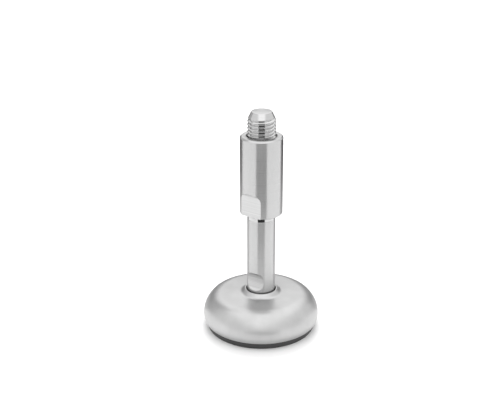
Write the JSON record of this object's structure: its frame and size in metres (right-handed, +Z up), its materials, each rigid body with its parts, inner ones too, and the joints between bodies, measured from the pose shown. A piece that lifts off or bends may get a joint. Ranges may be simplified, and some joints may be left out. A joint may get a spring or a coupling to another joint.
{
  "type": "machine levelling foot",
  "caption": "Hygienic machine levelling foot: domed foot plate with rubber pad, ball-jointed spindle, adjusting sleeve screwed on the stud.",
  "frame": {"origin": "centre of the rubber pad's underside, on the floor", "axes": "+Z up along the spindle, -Y the side that shows the wrench flats"},
  "size_m": [0.1, 0.1, 0.1945],
  "materials": {
    "blasted_steel": "matte blasted stainless steel",
    "ground_steel": "fine ground stainless steel",
    "rubber": "matte black",
    "plastic": "natural acetal"
  },
  "bodies": {
    "foot": {"foot_plate": "blasted_steel", "rubber_pad": "rubber", "socket_plug": "ground_steel", "thrust_cup": "plastic"},
    "liner": {"ball_liner": "plastic"},
    "neck_seal": {"neck_seal": "rubber"},
    "spindle": {"spindle": "ground_steel"},
    "sleeve_seal": {"sleeve_seal": "rubber"},
    "sleeve": {"sleeve": "ground_steel", "thread_seal": "rubber"}
  },
  "joints": [
    {"name": "tilt_x", "type": "hinge", "parent": "foot", "child": "liner", "pos_m": [0, 0, 0.018], "axis": [1, 0, 0], "range_deg": [-2, 2]},
    {"name": "tilt_y", "type": "hinge", "parent": "liner", "child": "neck_seal", "pos_m": [0, 0, 0.018], "axis": [0, 1, 0], "range_deg": [-2, 2]},
    {"name": "spindle_turn", "type": "hinge", "parent": "neck_seal", "child": "spindle", "pos_m": [0, 0, 0.018], "axis": [0, 0, 1], "continuous": true},
    {"name": "sleeve_lift", "type": "slide", "parent": "spindle", "child": "sleeve_seal", "axis": [0, 0, 1], "range_m": [-0.039, 0]},
    {"name": "sleeve_turn", "type": "hinge", "parent": "sleeve_seal", "child": "sleeve", "pos_m": [0, 0, 0.14], "axis": [0, 0, 1], "range_deg": [-4680, 0]}
  ],
  "couplings": [
    {"joint": "sleeve_lift", "follows": "sleeve_turn", "m_per_rad": 0.00047746}
  ]
}
